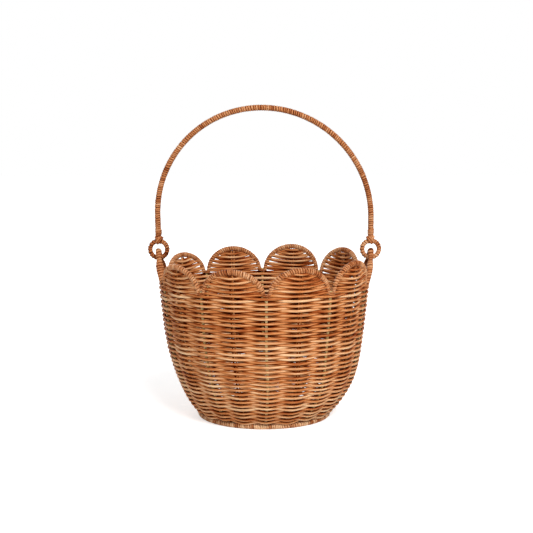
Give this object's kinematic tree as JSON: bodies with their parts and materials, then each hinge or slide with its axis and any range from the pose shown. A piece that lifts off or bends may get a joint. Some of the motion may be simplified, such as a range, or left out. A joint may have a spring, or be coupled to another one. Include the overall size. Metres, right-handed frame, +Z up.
{
  "type": "flower girl basket",
  "caption": "Round rattan flower basket woven strand over stake, with a scalloped rim of wrapped hoops and a bow handle that swings on rings in two ears.",
  "frame": {"origin": "on the floor under the middle of the basket", "axes": "+Z up, the handle spans X, the front faces -Y"},
  "size_m": [0.234, 0.2124, 0.3104],
  "materials": {
    "stake_rattan": "pale round rattan core, satin",
    "weaver_rattan": "stained round rattan core, satin",
    "cane_binding": "cane wrapped over a rattan core, semi-gloss"
  },
  "bodies": {
    "basket": {"foot_ring": "cane_binding", "base_mat": "weaver_rattan", "crown_stake_01": "weaver_rattan", "crown_stake_02": "weaver_rattan", "crown_stake_03": "weaver_rattan", "crown_stake_04": "weaver_rattan", "crown_stake_05": "weaver_rattan", "crown_stake_06": "weaver_rattan", "crown_stake_07": "weaver_rattan", "crown_stake_08": "weaver_rattan", "crown_stake_09": "weaver_rattan", "crown_stake_10": "weaver_rattan", "valley_stake_01": "stake_rattan", "valley_stake_02": "stake_rattan", "valley_stake_03": "stake_rattan", "valley_stake_04": "stake_rattan", "valley_stake_05": "stake_rattan", "valley_stake_06": "stake_rattan", "valley_stake_07": "stake_rattan", "valley_stake_08": "stake_rattan", "valley_stake_09": "stake_rattan", "valley_stake_10": "stake_rattan", "weaver_01": "weaver_rattan", "weaver_02": "weaver_rattan", "weaver_03": "weaver_rattan", "weaver_04": "weaver_rattan", "weaver_05": "weaver_rattan", "weaver_06": "weaver_rattan", "weaver_07": "weaver_rattan", "weaver_08": "weaver_rattan", "weaver_09": "weaver_rattan", "weaver_10": "weaver_rattan", "scallop_hoop_1": "cane_binding", "scallop_hoop_2": "cane_binding", "scallop_hoop_3": "cane_binding", "scallop_hoop_4": "cane_binding", "scallop_hoop_5": "cane_binding", "scallop_hoop_6": "cane_binding", "scallop_hoop_7": "cane_binding", "scallop_hoop_8": "cane_binding", "scallop_weave_1": "weaver_rattan", "scallop_weave_2": "weaver_rattan", "scallop_weave_3": "weaver_rattan", "scallop_weave_4": "weaver_rattan", "scallop_weave_5": "weaver_rattan", "scallop_weave_6": "weaver_rattan", "scallop_weave_7": "weaver_rattan", "scallop_weave_8": "weaver_rattan", "ear_left": "cane_binding", "ear_right": "cane_binding", "ear_weave_left": "weaver_rattan", "ear_weave_right": "weaver_rattan"},
    "handle": {"handle_bow": "cane_binding", "ring_left": "cane_binding", "ring_right": "cane_binding"}
  },
  "joints": [
    {"name": "handle_swing", "type": "hinge", "parent": "basket", "child": "handle", "pos_m": [0, 0, 0.1592], "axis": [1, 0, 0], "range_deg": [-95, 95]}
  ]
}
